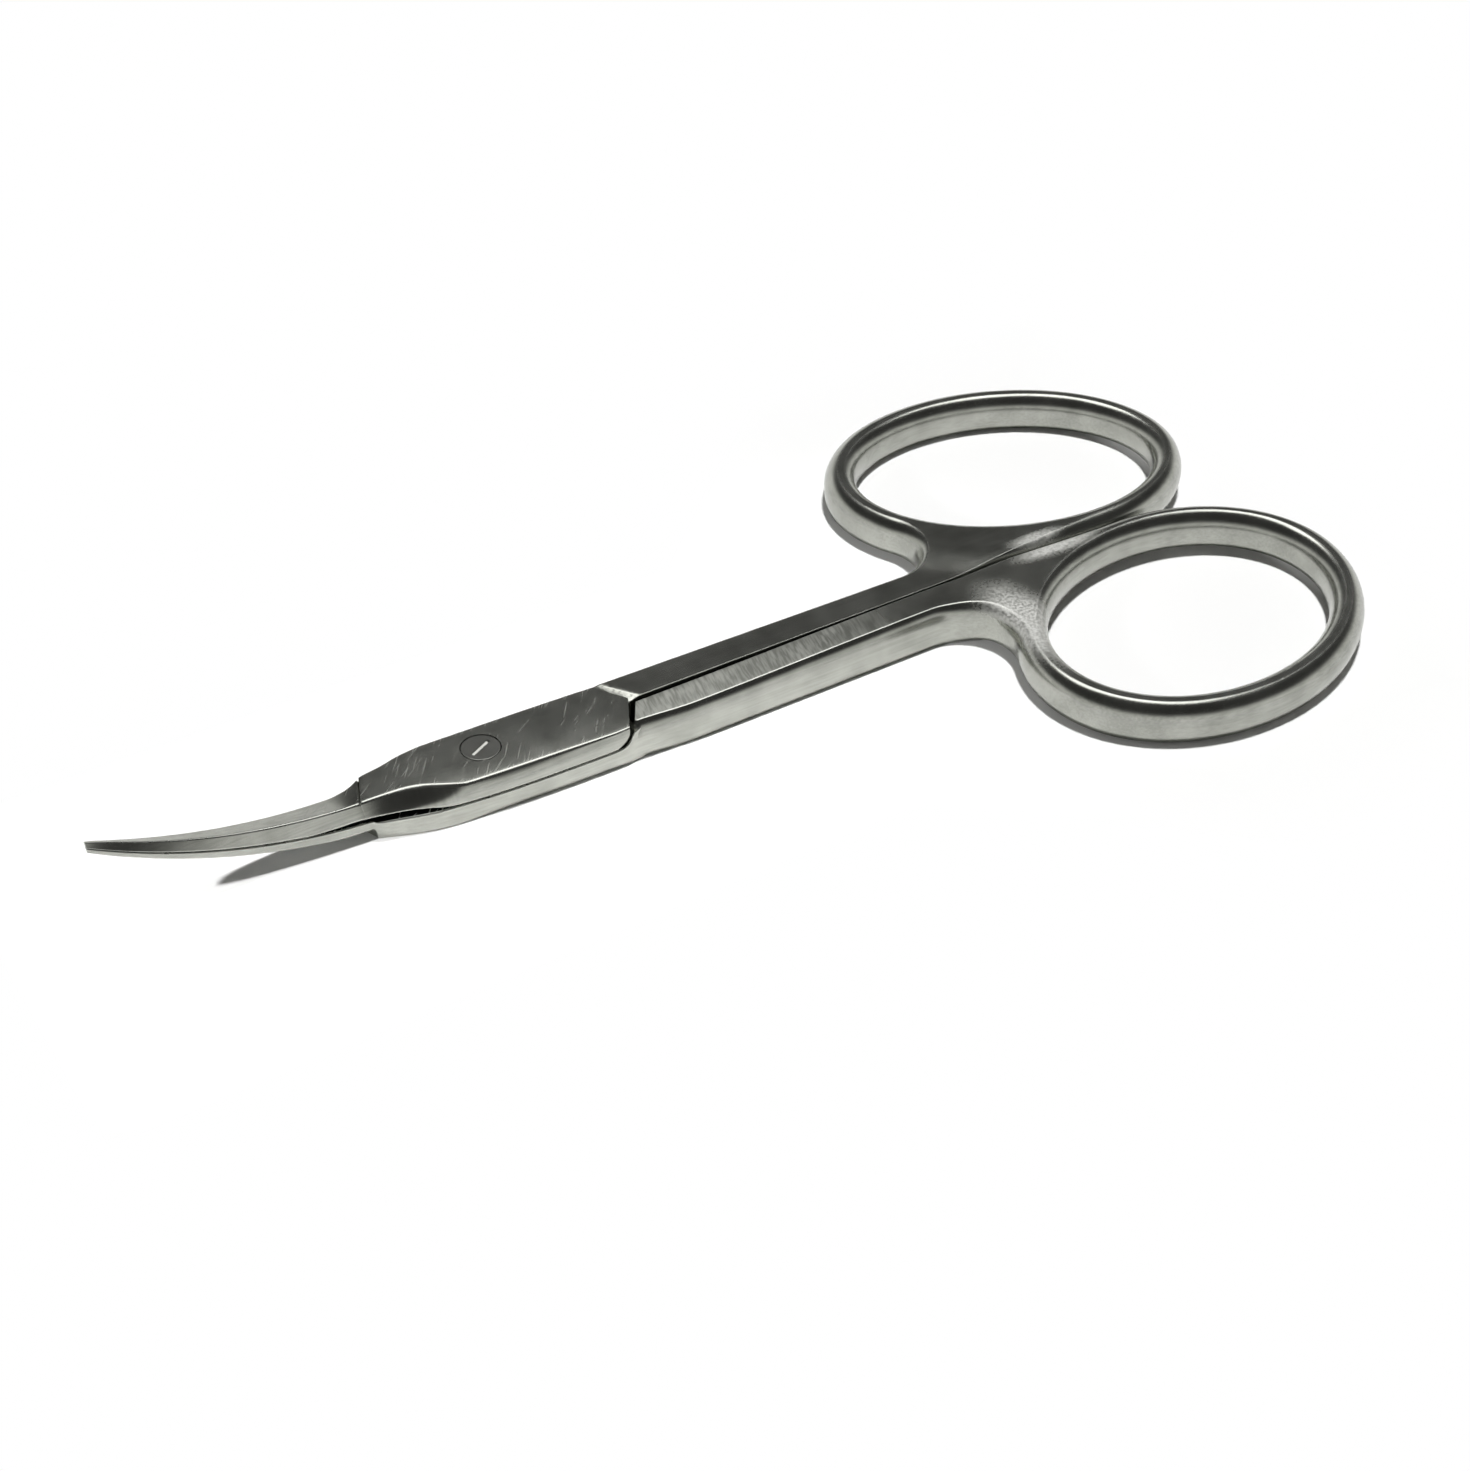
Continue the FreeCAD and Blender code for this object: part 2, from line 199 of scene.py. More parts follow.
def shank_run(side, wall_x):
    """Back along the shank's outer side, with one longer step to the slanted wall at the block."""
    start_x, end_x = web_turn(side)[1][0], wall_x - END_SLANT
    x = np.linspace(start_x, end_x + LAST_STEP, stretch(start_x - wall_x))[1:]
    x = np.append(x, end_x)
    points, normals = np.stack([x, side * shank_outer(x, side)], -1), np.tile([0.0, side], (len(x), 1))
    return points, normals, np.full(len(x), SHANK_ROUND), np.full(len(x), SHANK_BELOW)


print("points on the web runs", [len(web_run(side)[0]) for side in (BACK, FRONT)])

# %% One closed outline
WALL_LENGTH = 3.0
LEAST_CREASE = 0.4


def handle_outline(side, wall_x):
    """Closed outline: points, draw-in vectors, inward vectors and the share of the draw-in below.

    The draw-in is the depth against the way out. At the two ends of the wall it is the one vector
    that draws in by the right depth from both sides, and along the wall it runs from end to end.
    """
    runs = seam_run(side, wall_x), ring_run(side), web_run(side), shank_run(side, wall_x)
    points, normals, depths, below = (np.concatenate(part) for part in zip(*runs))
    draw_in = -normals * depths[:, None]
    inward = -normals * np.clip(depths / RING_ROUND, LEAST_CREASE, 1.0)[:, None]
    wall = points[-1] - points[0]
    wall_normal = np.array([wall[1], -wall[0]]) * -side
    wall_normal /= np.linalg.norm(wall_normal)
    for corner, depth in ((0, SEAM_ROUND), (-1, SHANK_ROUND)):
        facing = np.stack([normals[corner], wall_normal])
        draw_in[corner] = -np.linalg.solve(facing, [depth, WALL_ROUND])
        inward[corner] = -np.linalg.solve(facing, [LEAST_CREASE, LEAST_CREASE])
    t = np.linspace(0, 1, stretch(WALL_LENGTH))[1:-1, None]
    closed = [np.concatenate([v, v[-1] * (1 - t) + v[0] * t]) for v in (points, draw_in, inward)]
    return *closed, np.append(below, np.full(len(t), SHANK_BELOW))


WALL_X = {BACK: BLOCK_END, FRONT: BLOCK_END + 0.35}
print("outline points", [len(handle_outline(side, WALL_X[side])[0]) for side in (BACK, FRONT)])

# %% [markdown]
# The side profile is an arc that stops short of the flat top, so that a crease is left, as on the
# ground metal, and a short parabola rounds that crease. A Bevel modifier could round it too, but by
# the same width everywhere. Here the width follows the outline, and on a ring the arcs from outside
# and from the hole nearly meet, so that its section becomes round.

# %% Side profile
PROFILE_ARC, CREASE = math.radians(80.0), 0.08
ARC_ROWS, CREASE_ROWS, ARC_USED, RIM_CREASE = 17, 6, 0.94, 1.5


def side_profile():
    """Rows from the bottom flat to the top: share of the draw-in, extra inward mm, height, and the rubbing
    of the creases, which also sets a painted highlight there.

    The arc is draw-in (1 - cos f) and height sin f for f within +-arc; the creases are parabolas
    whose middle control point is the sharp corner.
    """
    f = np.linspace(-PROFILE_ARC * ARC_USED, PROFILE_ARC * ARC_USED, ARC_ROWS)
    share = (1 - np.cos(f)) / (1 - math.cos(PROFILE_ARC))
    height = (1 + np.sin(f) / math.sin(PROFILE_ARC)) / 2
    t = np.linspace(0, 1, CREASE_ROWS)[1:]
    bend = (1 - t) ** 2 * share[-1] + 1 - (1 - t) ** 2
    rise = (1 - t) ** 2 * height[-1] + 1 - (1 - t) ** 2
    rim = [CREASE * RIM_CREASE]
    share = np.concatenate([[1.0], bend[::-1], share, bend, [1.0]])
    height = np.concatenate([[0.0], 1 - rise[::-1], height, rise, [1.0]])
    reach = np.concatenate([rim, t[::-1] ** 2 * CREASE, np.zeros(ARC_ROWS), t ** 2 * CREASE, rim])
    # The rows at each crease are rubbed; their lighter colour later is partly rubbing, partly a painted
    # highlight.
    rubbed_and_lit = np.array([0.2, 0.4, 0.8, 1.0, 1.0, 0.7, 0.3])
    wear_and_highlight = np.concatenate([rubbed_and_lit, np.zeros(len(share) - 2 * len(rubbed_and_lit)), rubbed_and_lit[::-1]])
    return share, reach, height, wear_and_highlight


PROFILE = side_profile()
print("side profile of", len(PROFILE[0]), "rows")

# %% [markdown]
# The flats are not quite flat. Each ring bends up beside the seam and sinks a little round its hole,
# the back shank ends in a narrow bevel at the block, and the front shank lies lower and leans there.
# Sculpting could do this, but a height for each place in the plan moves top and sides together.

# %% Heights of top and underside
THICK = 3.15
RING_RISE, RING_LIFT, RING_SINK = {BACK: 0.40, FRONT: 0.55}, 0.72, 0.16
BEND_FADE, SINK_FADE = (2.2, 6.0), (1.4, 5.5)
BEND_WIDTH, FAR_BEND = 19.0, 0.25
BEVEL_X, BEVEL_Y, BEVEL_SLANT = 11.38, 0.1, 0.685
BEVEL_WIDE, BEVEL_DEEP, BEVEL_RUN = 0.46, 0.16, 1.25
FRONT_LOW, FRONT_LEAN, LEAN_START, FRONT_FADE = 0.14, 0.062, 0.25, (14.0, 33.0)


def hole_distance(points, side):
    """Distance outside the hole's oval: length from its centre times 1 - 1 / (length in half axes)."""
    away = points - ring_centre(side)
    c, s = math.cos(TOE_IN), side * math.sin(TOE_IN)
    along, across = away[..., 0] * c + away[..., 1] * s, away[..., 1] * c - away[..., 0] * s
    ovals = np.hypot(along / HOLE_HALF[0], across / HOLE_HALF[1])
    return np.hypot(along, across) * (1 - 1 / np.maximum(ovals, 0.2))


def ring_bend(points, side):
    """How far a ring bends up: 1 round the hole beside the seam, less far from it, 0 on the shank."""
    beside = np.clip(1 - np.abs(points[..., 1]) / BEND_WIDTH, 0.0, 1.0)
    round_hole = 1 - ease(hole_distance(points, side), *BEND_FADE)
    return (FAR_BEND + (1 - FAR_BEND) * beside) * round_hole


def bevel_edge(y):
    """X of the upper edge of the back shank's bevel: a slanted line."""
    return BEVEL_X - BEVEL_SLANT * (y - BEVEL_Y)


def top_height(points, side):
    """Height of the top over the table: level, bent and sunk round the hole, lower at the block."""
    x, y = points[..., 0], points[..., 1]
    height = THICK + RING_RISE[side] * ring_bend(points, side)
    height = height - RING_SINK * (1 - ease(hole_distance(points, side), *SINK_FADE))
    if side == BACK:
        return height - BEVEL_DEEP * np.clip((bevel_edge(y) - x) / BEVEL_WIDE, 0.0, BEVEL_RUN)
    lean = FRONT_LEAN * np.maximum(np.abs(y) - LEAN_START, 0.0)
    return height - (FRONT_LOW + lean) * (1 - ease(x, *FRONT_FADE))


def bottom_height(points, side):
    """Height of the underside: on the table, and lifted where a ring bends up."""
    return RING_LIFT * ring_bend(points, side)


for side in (BACK, FRONT):
    beside_seam = np.array([ring_centre(side)[0], side])
    print("ring beside the seam from", bottom_height(beside_seam, side).round(2),
          "to", top_height(beside_seam, side).round(2), "mm")

# %% [markdown]
# The flats between the two rims are filled with triangles. One large face would do for a level top,
# but these bend, so a triangular grid of points is laid between the rims, and a mesh that keeps the
# rims as edges joins it up. The back shank gets extra rows of points along its bevel.

# %% Points and triangles of the flats
FLAT_STEP, ROW_RATIO, RIM_CLEAR = 0.42, 0.866, 0.12
BEVEL_ROWS, BEVEL_POINTS = (-0.07, 0.07, 0.4), np.arange(0.3, 2.6, 0.12)


def within(points, loop):
    """True for points inside a closed loop: an odd number of its edges cross the ray along +X."""
    a, b = loop, np.roll(loop, -1, 0)
    y = points[:, None, 1]
    spans = (a[:, 1] > y) != (b[:, 1] > y)
    rise = np.where(b[:, 1] == a[:, 1], 1.0, b[:, 1] - a[:, 1])
    cross = a[:, 0] + (y - a[:, 1]) / rise * (b[:, 0] - a[:, 0])
    return (np.sum(spans & (cross > points[:, None, 0]), 1) % 2) == 1


def flat_points(outer, hole, side):
    """A triangular grid of points inside the outer rim, outside the hole and clear of both."""
    low, high = outer.min(0), outer.max(0)
    row = FLAT_STEP * ROW_RATIO
    rows, columns = np.meshgrid(np.arange(low[1], high[1], row), np.arange(low[0], high[0], FLAT_STEP))
    shift = np.where(np.round((rows - low[1]) / row) % 2 == 0, 0.0, FLAT_STEP / 2)
    points = np.stack([(columns + shift).ravel(), rows.ravel()], -1)
    if side == BACK:
        edge = bevel_edge(BEVEL_POINTS)
        points = np.concatenate([points] + [np.stack([edge - s, BEVEL_POINTS], -1) for s in BEVEL_ROWS])
    points = points[within(points, outer) & ~within(points, hole)]
    rim = np.concatenate([outer, hole])
    nearest = np.min(np.linalg.norm(points[:, None] - rim, axis=-1), 1)
    return points[nearest > RIM_CLEAR]


def flat_triangles(outer, hole, inner):
    """Triangles over both rims and the inner points, without those whose middle lies in the hole."""
    flat = np.concatenate([outer, hole, inner])
    loops = np.arange(len(outer)), len(outer) + np.arange(len(hole))
    edges = np.concatenate([np.stack([n, np.roll(n, -1)], -1) for n in loops])
    found = geometry.delaunay_2d_cdt(flat.tolist(), edges.tolist(), [], 1, 1e-7)
    triangles = np.array([source[0] for source in found[3]])[np.array(found[2])]
    return triangles[~within(flat[triangles].mean(1), hole)]


print("flats laid out every", FLAT_STEP, "mm")

# %% Handle shells
HOLE_POINTS, HOLE_SHIFT, HOLE_ROUND = 240, 0.10, 0.90


def grid_faces(rows, columns, close_rows, close_columns, first=0):
    """Corner numbers of the quads between neighbouring points of a grid, row by row."""
    r = np.arange(rows if close_rows else rows - 1)
    c = np.arange(columns if close_columns else columns - 1)
    r, c = np.meshgrid(r, c, indexing="ij")
    r2, c2 = (r + 1) % rows, (c + 1) % columns
    quads = np.stack([r * columns + c, r2 * columns + c, r2 * columns + c2, r * columns + c2], -1)
    return (quads.reshape(-1, 4) + first).tolist()


def swept_side(loop, pull, into, below, side):
    """Grid of outline x profile points: each moves in by share x pull + reach x into, then gets Z."""
    share, reach, height, _ = PROFILE
    drawn = share * np.where(height < 0.5, below[:, None], 1.0)
    plan = loop[:, None] + drawn[..., None] * pull[:, None] + reach[:, None] * into[:, None]
    floor_z = bottom_height(plan, side)
    z = floor_z + height * (top_height(plan, side) - floor_z)
    return np.concatenate([plan, z[..., None]], -1)


def handle_shell(side):
    """Points, faces and crease rubbing with its painted highlight, of a closed handle: two swept sides and
    two filled flats.
    """
    angle = np.linspace(0, 2 * math.pi, HOLE_POINTS, endpoint=False)
    hole, normal = oval(ring_centre(side) - (0, side * HOLE_SHIFT), HOLE_HALF, side, angle)
    outside = swept_side(*handle_outline(side, WALL_X[side]), side)
    inside = swept_side(hole, normal * HOLE_ROUND, normal, np.full(HOLE_POINTS, RING_BELOW), side)
    rims = outside[:, -1, :2], inside[:, -1, :2]
    inner = flat_points(*rims, side)
    triangles = flat_triangles(*rims, inner)
    lid = np.column_stack([inner, top_height(inner, side)])
    base = np.column_stack([inner, bottom_height(inner, side)])
    points = np.concatenate([outside.reshape(-1, 3), inside.reshape(-1, 3), lid, base])
    rows, loops = outside.shape[1], len(outside) + len(inside)
    faces = grid_faces(len(outside), rows, True, False)
    faces += grid_faces(len(inside), rows, True, False, len(outside) * rows)
    rim, fill = np.arange(loops) * rows, loops * rows + np.arange(len(inner))
    faces += np.append(rim + rows - 1, fill)[triangles].tolist()
    faces += np.append(rim, fill + len(inner))[triangles[:, ::-1]].tolist()
    return points, faces, np.append(np.tile(PROFILE[3], loops), np.zeros(2 * len(inner)))


handles = {side: handle_shell(side) for side in (BACK, FRONT)}
print("handle faces", [len(faces) for _, faces, _ in handles.values()])

# %% [markdown]
# ## Block, neck and blade
# In front of the shank each half is a four-sided bar: a lap face that slides on the other half, an
# outer face, and two sides. It could be cut from a block, but the neck and the shoulder are ground by
# hand, and no plain cutter has their shape. So its four corners run as tracks from the block, through
# the ground scoop of the neck and over the shoulder, to the tip. The blade's tracks follow formulas.

# %% Tracks of the blade
LAP, LAP_GAP = 1.58, 0.03
BEND_START, BEND_RADIUS = 6.7, 38.0
NECK_END, BLADE_REACH = 9.2, 25.9
BLADE_X = np.array([-10.3, -12.0, -14.5, -17.0, -19.5, -22.0, -24.0, -25.3, -25.9])
TIP_WIDTH, TIP_SPINE, TIP_EDGE, TIP_FRONT = 0.38, 0.30, 0.28, 0.40
ADD_WIDTH, ADD_SPINE, ADD_EDGE, ADD_FRONT = 2.16, 1.00, 0.50, -0.82
WIDTH_POWER, THICK_POWER, SETBACK = 0.72, 0.85, 0.42
HEEL_X, HEEL_Z = -11.5, 1.94


def lap_height(x):
    """Level at the block, then a circle of the bend radius up to the tips."""
    past = np.maximum(0.0, -x - BEND_START)
    return LAP + BEND_RADIUS - np.sqrt(BEND_RADIUS ** 2 - past ** 2)


def blade_corners(x, side):
    """Corners of a blade at each x: free side at the lap, own side at the lap, own face, free face.

    With t from 0 at the tip to 1 at the neck, each size is its tip value plus a gain times a power of t.
    """
    t = np.clip((BLADE_REACH + x) / (BLADE_REACH - NECK_END), 0.0, 1.0)
    taper = t ** THICK_POWER
    width = TIP_WIDTH + ADD_WIDTH * t ** WIDTH_POWER
    spine, edge = TIP_SPINE + ADD_SPINE * taper, TIP_EDGE + ADD_EDGE * taper
    front = TIP_FRONT + ADD_FRONT * t
    back, setback = front + width, np.minimum(SETBACK, width / 2)
    lap = lap_height(x) + side * LAP_GAP
    if side == BACK:
        heel = np.maximum(lap, np.where(x > HEEL_X, HEEL_Z, 0))
        tracks = [(front, heel), (back, lap), (back, lap + edge), (front + setback, lap + spine)]
    else:
        tracks = [(back, lap), (front, lap), (front, lap - edge), (back - setback, lap - spine)]
    return np.stack([np.stack([x, y, z], -1) for y, z in tracks], 1)


print("the tips rise to", lap_height(-BLADE_REACH).round(2), "mm")

# %% [markdown]
# The block and the neck follow no formula. Each row below is one station, with the places of the
# four corners in the order of the blade's, from the end of the block to the start of the blade.

# %% Tracks of the two blocks
UPPER_BLOCK = np.array([
    [(8.00, -2.50, 1.61), (11.60, 2.20, 1.61), (11.60, 2.20, 3.00), (9.18, -2.28, 2.92)],
    [(7.30, -2.52, 1.61), (9.60, 3.12, 1.61), (9.60, 2.76, 3.00), (8.20, -2.33, 2.92)],
    [(4.10, -2.47, 1.61), (4.10, 3.40, 1.61), (4.10, 3.05, 3.00), (4.10, -2.10, 2.92)],
    [(0.00, -2.28, 1.61), (0.00, 3.55, 1.61), (0.00, 3.19, 3.00), (0.00, -1.86, 2.92)],
    [(-2.60, -2.02, 1.61), (-2.40, 3.62, 1.61), (-2.40, 3.26, 3.00), (-2.40, -1.68, 2.92)],
    [(-3.40, -1.90, 1.62), (-3.20, 3.65, 1.61), (-3.20, 3.28, 3.00), (-3.10, -1.36, 2.93)],
    [(-4.10, -1.75, 1.68), (-4.10, 3.58, 1.61), (-4.10, 3.22, 3.00), (-3.90, -0.93, 2.95)],
    [(-5.10, -1.42, 1.80), (-5.20, 3.40, 1.61), (-5.20, 3.04, 3.00), (-5.00, -0.37, 2.97)],
    [(-6.30, -1.08, 1.90), (-6.30, 3.10, 1.61), (-6.30, 2.75, 3.00), (-6.24, -0.08, 2.98)],
    [(-8.00, -0.68, 1.94), (-7.30, 2.84, 1.62), (-7.30, 2.60, 3.00), (-8.00, 0.00, 2.99)],
    [(-8.85, -0.51, 1.95), (-7.92, 2.66, 1.63), (-7.92, 2.50, 2.97), (-8.88, 0.02, 2.99)],
    [(-8.91, -0.50, 1.95), (-7.98, 2.62, 1.63), (-7.98, 2.46, 2.70), (-8.94, 0.02, 2.90)],
    [(-9.02, -0.48, 1.95), (-8.12, 2.58, 1.64), (-8.12, 2.43, 2.87), (-9.06, 0.03, 2.95)],
    [(-9.25, -0.44, 1.95), (-8.62, 2.36, 1.66), (-8.62, 2.23, 2.77), (-9.30, 0.035, 2.97)],
    [(-9.70, -0.40, 1.955), (-9.40, 2.14, 1.72), (-9.40, 2.04, 2.68), (-9.75, 0.04, 2.99)],
])
LOWER_BLOCK = np.array([
    [(8.75, 3.10, 1.55), (11.40, -1.80, 2.70), (11.40, -1.60, 0.00), (8.75, 2.75, 0.00)],
    [(8.60, 3.11, 1.55), (9.52, -2.34, 2.50), (10.40, -2.24, 0.00), (8.60, 2.76, 0.00)],
    [(8.20, 3.13, 1.55), (9.24, -2.44, 2.15), (9.70, -2.32, 0.00), (8.20, 2.78, 0.00)],
    [(7.80, 3.15, 1.55), (8.96, -2.52, 1.83), (9.10, -2.34, 0.00), (7.80, 2.80, 0.00)],
    [(7.40, 3.18, 1.55), (8.52, -2.54, 1.62), (8.50, -2.34, 0.00), (7.40, 2.83, 0.00)],
    [(6.80, 3.22, 1.55), (7.70, -2.54, 1.55), (7.60, -2.32, 0.00), (6.80, 2.87, 0.00)],
    [(4.00, 3.40, 1.55), (4.00, -2.47, 1.55), (4.00, -2.22, 0.00), (4.00, 3.05, 0.00)],
    [(0.00, 3.55, 1.55), (0.00, -2.29, 1.55), (0.00, -2.03, 0.00), (0.00, 3.19, 0.00)],
    [(-3.00, 3.65, 1.55), (-3.00, -1.98, 1.55), (-3.00, -1.92, 0.00), (-3.00, 3.28, 0.00)],
    [(-4.40, 3.30, 1.55), (-4.40, -1.80, 1.55), (-4.40, -1.70, 0.00), (-4.40, 2.60, 0.00)],
    [(-5.80, 2.92, 1.55), (-5.80, -1.44, 1.55), (-5.80, -1.32, 0.00), (-6.00, 1.95, 0.00)],
    [(-7.40, 2.45, 1.56), (-7.20, -1.02, 1.56), (-7.20, -0.78, 0.00), (-7.60, 1.72, 0.00)],
    [(-8.90, 2.10, 1.62), (-8.20, -0.74, 1.57), (-8.10, -0.45, 0.02), (-8.90, 1.62, 0.03)],
    [(-9.15, 2.04, 1.63), (-8.55, -0.46, 1.60), (-8.40, -0.45, 0.92), (-9.15, 1.61, 0.32)],
])


def half_tracks(side):
    """Corner tracks of a half from its block end to its tip, as stations x 4 corners x 3."""
    return np.concatenate([UPPER_BLOCK if side == BACK else LOWER_BLOCK, blade_corners(BLADE_X, side)])


print("stations", len(half_tracks(BACK)), "and", len(half_tracks(FRONT)))

# %% [markdown]
# A surface needs many more rows than there are stations. A plain spline through them would swing out
# beside each step, so the curve used here holds its slope down wherever the track turns. Across the
# bar each side runs from corner to corner with its own fullness: straight, full or rolled.

# %% A smooth curve through the stations
ROW_STEP, LEAST_ROWS = 0.28, 4


def smooth_along(knots, per_span):
    """Cubic through the knots whose slopes never overshoot: zero slope where the steps change sign."""
    step = np.diff(knots, axis=0)
    product = step[:-1] * step[1:]
    total = np.where(product > 0, step[:-1] + step[1:], 1.0)
    inside = np.where(product > 0, 2 * product / total, 0.0)
    slope = np.concatenate([step[:1], inside, step[-1:]])
    at = np.concatenate([i + np.arange(n) / n for i, n in enumerate(per_span)] + [[len(knots) - 1.0]])
    i = np.minimum(at.astype(int), len(knots) - 2)
    t = (at - i).reshape((-1,) + (1,) * (knots.ndim - 1))
    return ((2 * t ** 3 - 3 * t ** 2 + 1) * knots[i] + (t ** 3 - 2 * t ** 2 + t) * slope[i]
            + (3 * t ** 2 - 2 * t ** 3) * knots[i + 1] + (t ** 3 - t ** 2) * slope[i + 1])


def bar_tracks(side):
    """The four corner tracks with rows put in: about a row step apart, and a few in every span."""
    knots = half_tracks(side)
    length = np.linalg.norm(np.diff(knots, axis=0), axis=-1).max(1)
    return smooth_along(knots, np.maximum(LEAST_ROWS, np.ceil(length / ROW_STEP)).astype(int))


print("rows along the bars", [len(bar_tracks(side)) for side in (BACK, FRONT)])

# %% Sides of the bar
EDGE_T = np.array([0.0, 0.02, 0.06, 0.12, 0.22, 0.34, 0.46, 0.58, 0.70, 0.80, 0.88, 0.94, 0.98, 1.0])
CORNER_CUT, CUT_SHARE = 0.15, 0.22
FULL, ROLL, RAISE = 1.5, 3, 11
OWN_FADE, FRONT_FULL_FADE, RAISE_FADE = (-8.2, -7.0), (-8.4, -6.5), (7.6, 8.3)
BACK_FULL_START, BACK_FULL_LENGTH = -7.0, 4.5


def side_fullness(tracks, side):
    """Powers for x, y and z along the four sides: 1 is straight, and more is full or rolled."""
    one = np.ones(len(tracks))
    own = 1 + FULL * ease(tracks[:, 2, 0], *OWN_FADE)
    if side == BACK:
        block = np.clip((tracks[:, 3, 0] - BACK_FULL_START) / BACK_FULL_LENGTH, 0.0, 1.0)
        raised, rolled = one, 1 + ROLL * block
    else:
        block = ease(tracks[:, 1, 0], *FRONT_FULL_FADE)
        raised, rolled = 1 + RAISE * ease(tracks[:, 1, 0], *RAISE_FADE), one
    face = 1 + FULL * block
    return (one, one, raised), (one, own, one), (one, one, rolled), (face, -face, one)


def bar_sides(tracks, side):
    """Points along the four sides from corner P to corner Q, short of both by the corner's cut.

    Each coordinate is P + (Q - P) t^a, or P + (Q - P) (1 - (1 - t)^a) where a is given as negative.
    """
    shortest = np.linalg.norm(tracks - np.roll(tracks, -1, 1), axis=-1).min(1)
    cut = np.minimum(CORNER_CUT, CUT_SHARE * shortest)
    sides = []
    for edge, powers in enumerate(side_fullness(tracks, side)):
        p, q = tracks[:, edge], tracks[:, (edge + 1) % 4]
        start = (cut / np.linalg.norm(q - p, axis=-1))[:, None]
        t = start + (1 - 2 * start) * EDGE_T
        shares = [t ** a[:, None] if a[0] >= 0 else 1 - (1 - t) ** -a[:, None] for a in powers]
        sides.append(p[:, None] + (q - p)[:, None] * np.stack(shares, -1))
    return sides


print("points across a side", len(EDGE_T))

# %% Bar shells
CORNER_T = np.linspace(0, 1, 7)[1:-1]
RUB_HIGHLIGHT_REACH, SIDE_RUB_HIGHLIGHT = 0.03, 0.5
SCOOP_START, SCOOP_END = (-8.5, -5.5), (-3.2, -2.4)


def bar_shell(side):
    """Points, faces, edge rubbing with its painted highlight, and grind marks of the closed bar: sides,
    corners and a pole at each end.

    A corner is the parabola from side to side whose control point is the sharp corner.
    """
    tracks, t, around = bar_tracks(side), CORNER_T[:, None], []
    sides = bar_sides(tracks, side)
    for edge in range(4):
        following = (edge + 1) % 4
        before, sharp, after = sides[edge][:, -1:], tracks[:, following][:, None], sides[following][:, :1]
        around += [sides[edge], (1 - t) ** 2 * before + 2 * t * (1 - t) * sharp + t ** 2 * after]
    ring = np.concatenate(around, 1)
    rows, columns = ring.shape[:2]
    points = np.concatenate([ring.reshape(-1, 3), ring[0].mean(0)[None], ring[-1].mean(0)[None]])
    faces = grid_faces(rows, columns, False, True)
    first, last = np.arange(columns), (rows - 1) * columns + np.arange(columns)
    for pole, rim in ((rows * columns, first), (rows * columns + 1, last[::-1])):
        faces += np.stack([np.roll(rim, -1), rim, np.full(columns, pole)], -1).tolist()
    # Rows next to each corner are rubbed; their lighter colour is also a painted edge highlight.
    near_corner = (EDGE_T < RUB_HIGHLIGHT_REACH) | (EDGE_T > 1 - RUB_HIGHLIGHT_REACH)
    rubbed_and_lit = np.append(np.where(near_corner, SIDE_RUB_HIGHLIGHT, 0.0), np.ones(len(CORNER_T)))
    on_face = np.zeros(columns)
    on_face[-len(rubbed_and_lit):-len(CORNER_T)] = 1.0
    x = tracks[:, 3, 0]
    scoop = ease(x, *SCOOP_START) * (1 - ease(x, *SCOOP_END)) * float(side == BACK)
    grind = (scoop[:, None] * on_face).ravel()
    return points, faces, np.append(np.tile(rubbed_and_lit, 4 * rows), [0, 0]), np.append(grind, [0, 0])


bars = {side: bar_shell(side) for side in (BACK, FRONT)}
print("bar faces", [len(bar[1]) for bar in bars.values()])

# %% [markdown]
# ## The two halves
# Each half is one forging, so its handle and its bar are put into one mesh. A union could weld them,
# but it leaves slivers where surfaces nearly touch, and the overlap lies inside the metal. Only the
# screw's seat is cut: it is a plain bore, and a turned cutter gives it clean edges. The cutter is a
# temporary object, and nothing of it is left afterwards.

# %% Meshes and turned forms
SCREW_Y = 1.0
TURN_STEPS = 96


def steel_piece(name, points, faces, marks):
    """A smooth mesh object from points in millimetres, faces and named values per point."""
    mesh = bpy.data.meshes.new(name)
    mesh.from_pydata(to_frame(points).tolist(), [], faces)
    for mark, values in marks.items():
        layer = mesh.attributes.new(mark, "FLOAT", "POINT")
        layer.data.foreach_set("value", np.asarray(values, np.float32))
    shell = bmesh.new()
    shell.from_mesh(mesh)
    bmesh.ops.recalc_face_normals(shell, faces=shell.faces)
    shell.to_mesh(mesh)
    shell.free()
    mesh.shade_smooth()
    piece = bpy.data.objects.new(name, mesh)
    bpy.context.scene.collection.objects.link(piece)
    return piece


def turned_piece(name, profile):
    """A turned solid: each profile point (r, z) is carried round the screw's axis.

    The first and last points lie on the axis and become poles.
    """
    turn = np.linspace(0, 2 * math.pi, TURN_STEPS, endpoint=False)[:, None]
    r, z = np.array(profile[1:-1], float).T
    ring = np.stack([np.cos(turn) * r, np.sin(turn) * r + SCREW_Y, np.tile(z, (TURN_STEPS, 1))], -1)
    poles = [[0, SCREW_Y, profile[0][1]], [0, SCREW_Y, profile[-1][1]]]
    faces = grid_faces(TURN_STEPS, len(r), True, False)
    start = np.arange(TURN_STEPS) * len(r)
    for pole, rim in ((TURN_STEPS * len(r), start), (TURN_STEPS * len(r) + 1, start[::-1] + len(r) - 1)):
        faces += np.stack([rim, np.roll(rim, -1), np.full(TURN_STEPS, pole)], -1).tolist()
    return steel_piece(name, np.concatenate([ring.reshape(-1, 3), poles]), faces, {})


print("turned forms have", TURN_STEPS, "steps")

# %% Cutting
SHARP_DEGREES = 38


